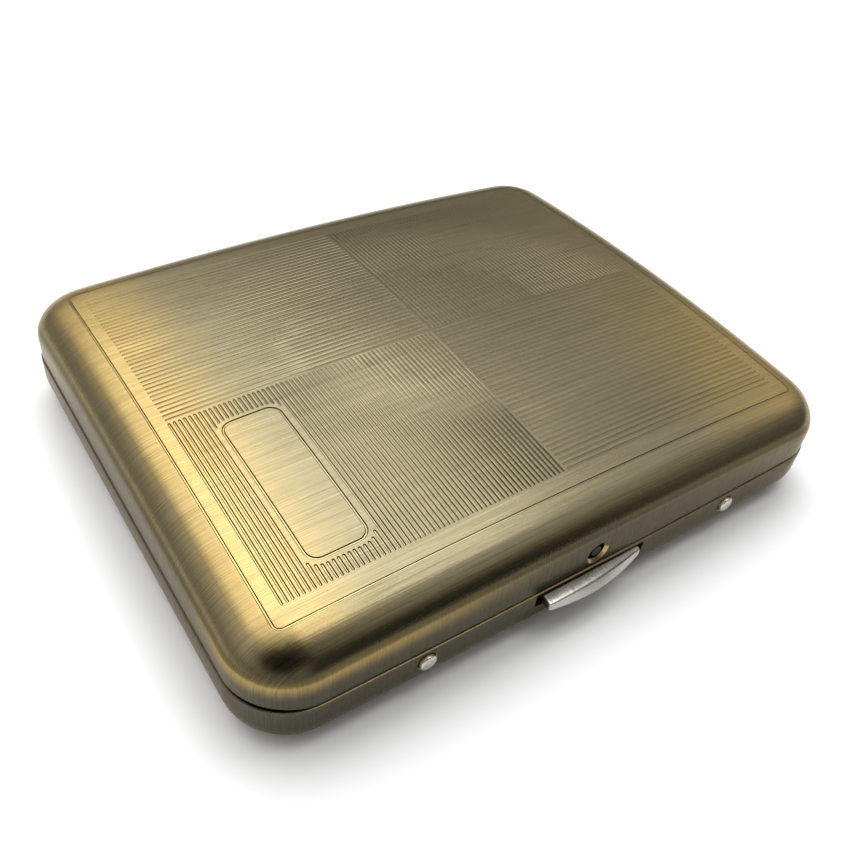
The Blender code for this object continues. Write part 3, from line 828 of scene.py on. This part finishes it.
def notch_cutter():
    """A tool for the small dent in the border near its right front corner."""
    x, y = NOTCH_PLACE
    nick = line_cutter((x - NOTCH_INWARD, y), (x + NOTCH_OUTWARD, y - NOTCH_FORWARD))
    wear(nick, LINE)
    return nick


def crown_fall(x, y):
    """How far the lid's top lies below its middle."""
    return CROWN_ALONG * (x / HALF_LENGTH) ** 2 + CROWN_ACROSS * (y / HALF_DEPTH) ** 2


def limited(share):
    """A share held between 0 and 1."""
    return min(1.0, max(0.0, share))


def seam_height(spot):
    """Height of the lid's rim: lowest along the latch side, raised at that side's ends."""
    front = limited((-spot.y / HALF_DEPTH - SEAM_FRONT_START) / SEAM_FRONT_RUN)
    along = limited((abs(spot.x) - HALF_LENGTH + CORNER_RADIUS) / CORNER_RADIUS)
    across = limited((-spot.y - HALF_DEPTH + CORNER_RADIUS) / CORNER_RADIUS)
    gap = SEAM_SIDE + (SEAM_TIGHT - SEAM_SIDE) * front
    return BASE_RIM + gap + SEAM_CORNER * min(1.0, SEAM_CORNER_SPREAD * along * across)


def round_cutter(centre, radius, flare):
    """A tool for a round hole through the front wall, flared at the wall's outer face."""
    profile = [(radius, -TOOL_LENGTH / 2), (radius, -flare), (radius + flare, 0)]
    profile.append((radius + flare, TOOL_LENGTH / 2))
    return turned_piece("hole", centre, (0, -1, 0), profile, EDGE)


def block_cutter(low, high, corner=0.0):
    """A tool that cuts out a block, with its edges eased by the corner's width."""
    low, high = Vector(low), Vector(high)
    bpy.ops.mesh.primitive_cube_add(size=1, location=(low + high) / 2, scale=high - low)
    tool = settle(bpy.context.object)
    if corner:
        apply(tool, "BEVEL", width=corner, segments=3)
    wear(tool, EDGE)
    return tool


def front_wall(x, grow=0.0):
    """Y of the latch side's outer face at x, on the lid or on a shell grown by so much."""
    return -(HALF_DEPTH + grow + FRONT_BOW * (1 - (x / HALF_LENGTH) ** 2))


def hinge_notch():
    """A tool that opens the back wall for the hinge's barrel."""
    low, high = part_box("hinge_pin")
    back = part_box("base_hinge_leaf")[1][1]
    middle_y, middle_z = (low[1] + high[1]) / 2, (low[2] + high[2]) / 2
    rise = back - middle_y + HINGE_ROOM
    return block_cutter(
        (low[0] - HINGE_ROOM, HALF_DEPTH - 2 * SHEET, middle_z - rise),
        (high[0] + HINGE_ROOM, back, middle_z + rise),
    )


def lid_piece():
    """The lid: pressed, lined, crowned, then cut for the catch and the hinge."""
    rings = ellipse_rings(LID_EDGE, LID_RIM, LID_TOP)
    lid = pressed_sheet("lined_lid", 0.0, LID_RIM, rings)
    cut(lid, pattern_cutter())
    cut(lid, notch_cutter())
    shoulder = rings[0][1]
    for point in lid.data.vertices:
        share = min(1.0, (point.co.z - LID_RIM) / (shoulder - LID_RIM))
        point.co.z -= crown_fall(point.co.x, point.co.y) * share
        point.co.z += (seam_height(point.co) - LID_RIM) * (1 - share)
    catch = (0, front_wall(0), CATCH_HEIGHT)
    cut(lid, round_cutter(catch, CATCH_RADIUS, CATCH_FLARE))
    cut(lid, hinge_notch())
    smooth(lid, degrees=10)
    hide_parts("lid_shell")
    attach(lid, "lid")


def base_piece():
    """The base: pressed, then cut for the studs, the thumb piece and the hinge."""
    rings = ellipse_rings(BASE_EDGE, BASE_RIM, 0.0)
    base = pressed_sheet("pressed_base", RIM_STEP, BASE_RIM, rings)
    for name in ("latch_stud_left", "latch_stud_right"):
        low, high = (Vector(corner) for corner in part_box(name))
        middle = (low + high) / 2
        place = (middle.x, front_wall(middle.x, RIM_STEP), middle.z)
        cut(base, round_cutter(place, STUD_HOLE_RADIUS, STUD_HOLE_FLARE))
    low, high = (Vector(corner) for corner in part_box("latch_thumb_piece"))
    wall = front_wall(0)
    left = low.x - THUMB_ROOM.x + 2 * THUMB_SHIFT
    right = high.x + THUMB_ROOM.x + THUMB_SHIFT
    low_corner = (left, wall - 2 * SHEET, low.z - THUMB_ROOM.z)
    high_corner = (right, wall + 2 * SHEET, high.z + THUMB_ROOM.z)
    cut(base, block_cutter(low_corner, high_corner, SLOT_CORNER))
    cut(base, hinge_notch())
    smooth(base)
    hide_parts("base_shell")
    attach(base, "base")


def turned_piece(name, spot, axis, profile, finish):
    """A solid of rings (radius, height) along an axis, flat at its start and its end."""
    first_radius, first_height = profile[0]
    place = Vector(spot) + Vector(axis) * first_height
    turn = Vector((0, 0, 1)).rotation_difference(Vector(axis))
    bpy.ops.mesh.primitive_circle_add(
        vertices=ROUND_SIDES,
        radius=first_radius,
        fill_type="NGON",
        location=place,
        rotation=turn.to_euler(),
    )
    piece = bpy.context.object
    piece.name = name
    settle(piece)
    with editing(piece):
        for (radius, height), (next_radius, next_height) in zip(profile, profile[1:]):
            step = Vector(axis) * (next_height - height)
            bpy.ops.mesh.extrude_region_move(TRANSFORM_OT_translate={"value": step})
            scale = next_radius / radius
            centre = Vector(spot) + Vector(axis) * next_height
            bpy.ops.transform.resize(value=(scale, scale, scale), center_override=centre)
        bpy.ops.mesh.select_all(action="SELECT")
        bpy.ops.mesh.normals_make_consistent(inside=False)
    wear(piece, finish)
    smooth(piece, degrees=40)
    return piece


def stud_piece(name):
    """A low-crowned stud with a softened edge, on its shank through the latch wall."""
    low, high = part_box(name)
    radius = (high.x - low.x) / 2
    centre = (low + high) / 2
    end = low.y - high.y
    profile = [(radius * share, -depth * MM) for share, depth in reversed(STUD_CROWN)]
    profile += [(radius, -HEAD_BACK), (SHANK_RADIUS, -SHANK_START)]
    profile += [(SHANK_RADIUS, end + SHANK_SHORT_OF_END), (radius, end + FOOT_FACE)]
    profile += [(radius, end + FOOT_EASE), (radius * FOOT_END_SHARE, end)]
    place = (centre.x, low.y, centre.z)
    stud = turned_piece(name + "_crowned", place, (0, -1, 0), profile, NICKEL)
    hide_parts(name)
    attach(stud, "base")


def thumb_tongue():
    """The thumb piece: a nearly straight upper edge, a half-moon lower one and a nose."""
    low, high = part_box("latch_thumb_piece")
    back = high.y
    width = high.x - low.x
    height = high.z - low.z
    place = (THUMB_SHIFT, back - THUMB_REACH / 2, (low.z + high.z) / 2)
    size = (width * THUMB_SHARE, THUMB_REACH, height)
    bpy.ops.mesh.primitive_cube_add(size=1, location=place, scale=size)
    tongue = bpy.context.object
    tongue.name = "thumb_tongue"
    settle(tongue)
    with editing(tongue):
        for step in range(1, TONGUE_STEPS):
            x = THUMB_SHIFT + size[0] * (step / TONGUE_STEPS - 0.5)
            bpy.ops.mesh.select_all(action="SELECT")
            bpy.ops.mesh.bisect(plane_co=(x, 0, 0), plane_no=(1, 0, 0))
    half = size[0] / 2
    for point in tongue.data.vertices:
        if point.co.y < place[1]:
            arch = 1 - ((point.co.x - THUMB_SHIFT) / half) ** 2
            is_lower = point.co.z < place[2]
            bulge = LOWER_BULGE if is_lower else UPPER_BULGE
            point.co.y += point.co.x * math.tan(THUMB_SKEW) - bulge * arch
            point.co.z -= 0.0 if is_lower else NOSE_DROP
    nose = {"width": NOSE_RADIUS, "segments": NOSE_STEPS, "profile": NOSE_FULLNESS}
    sharp = {"limit_method": "ANGLE", "angle_limit": math.radians(NOSE_ANGLE)}
    apply(tongue, "BEVEL", **nose, **sharp)
    wear(tongue, THUMB)
    smooth(tongue, degrees=50)
    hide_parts("latch_thumb_piece")
    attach(tongue, "latch")


def dress_nodes():
    """Give the CAD nodes that stay their finishes."""
    finishes = {
        "base_hinge_leaf": EDGE,
        "lid_hinge_leaf": EDGE,
        "hinge_pin": EDGE,
        "latch_leaf_spring": BLUED_STEEL_AND_SHADE,
        "thumb_rivet": NICKEL,
    }
    for half in ("base", "lid"):
        finishes[half + "_arm"] = EDGE
        for side in ("left", "right"):
            finishes[half + "_arm_bracket_" + side] = EDGE
            finishes[half + "_arm_spring_" + side] = STEEL
    for name, finish in finishes.items():
        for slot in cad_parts[name].material_slots:
            slot.material = finish


def soft_box(name, place, size, light):
    """A rectangular lamp that shines straight down."""
    data = bpy.data.lights.new(name, "AREA")
    data.shape = "RECTANGLE"
    data.size, data.size_y = size
    data.energy = math.pi * light * size[0] * size[1]
    lamp = bpy.data.objects.new(name, data)
    bpy.context.scene.collection.objects.link(lamp)
    lamp.location = place


def room():
    """Surroundings: a dim room, darkest towards the latch side, behind a white background.

    The camera sees white, and metal mirrors the room.
    """
    world = bpy.data.worlds.new("room")
    bpy.context.scene.world = world
    world.use_nodes = True
    tree = Tree(world.node_tree)
    way = tree.node("ShaderNodeTexCoord", output="Generated")
    across, along, height = tree.axes(way)
    light = tree.ramp(height, *OVERHEAD_Z, *ROOM_LIGHT)
    lit = tree.ramp(height, *LIT_ABOVE_Z) * tree.ramp(across, *LIT_RIGHT_X)
    dark = tree.ramp(along, *DARK_LATCH_SIDE_Y) * (1 - lit)
    dark = dark * tree.ramp(across, *PALER_RIGHT_X, 1.0, RIGHT_DARKNESS_KEPT)
    low_left = tree.ramp(across, *PALER_LEFT_X) * tree.ramp(height, *PALER_LOW_Z)
    dark = dark * (1 - low_left * LEFT_DARKNESS_LOST)
    light = light * (1 - dark * (1 - DARK_LIGHT_KEPT))
    far = tree.ramp(along, *DIMMER_BACK_Y) * tree.ramp(across, *DIMMER_RIGHT_X)
    light = light * (1 - far * DIMMER_LIGHT_LOST)
    facing_viewer = {0: way, 1: VIEWER_SIDE}
    near = tree.node("ShaderNodeVectorMath", {"operation": "DOT_PRODUCT"}, facing_viewer, 1)
    light = light * tree.ramp(near, *VIEWER_SPOT, 1.0, 0.0)
    path = "ShaderNodeLightPath"
    seen = tree.node(path, output="Is Camera Ray")
    seen = seen + tree.node(path, output="Is Transmission Ray")
    background = world.node_tree.nodes["Background"]
    tree.plug(background.inputs["Color"], (1, 1, 1, 1))
    tree.plug(background.inputs["Strength"], light + seen * (1 - light))


def floor():
    """White paper that keeps the case's shadow."""
    bpy.ops.mesh.primitive_plane_add(size=PAPER_SIZE, location=(0, 0, 0))
    sheet = bpy.context.object
    sheet.name = "floor"
    paper = Look("white_paper", PAPER_WHITE, PAPER_ROUGHNESS, metallic=0.0)
    paper.set("Specular IOR Level", PAPER_SHINE)
    wear(sheet, paper.material)


def camera():
    """The photograph's view of the case."""
    data = bpy.data.cameras.new("camera")
    data.lens = LENS
    data.sensor_width = SENSOR
    data.clip_start = NEAREST_SEEN
    view = bpy.data.objects.new("camera", data)
    bpy.context.scene.collection.objects.link(view)
    view.location = CAMERA_PLACE
    view.rotation_euler = CAMERA_TURN
    bpy.context.scene.camera = view


camera()
lid_piece()
base_piece()
for stud in ("latch_stud_left", "latch_stud_right"):
    stud_piece(stud)
thumb_tongue()
dress_nodes()
room()
floor()
for name, settings in BOXES.items():
    soft_box(name, **settings)
bpy.context.scene.view_settings.view_transform = "Standard"
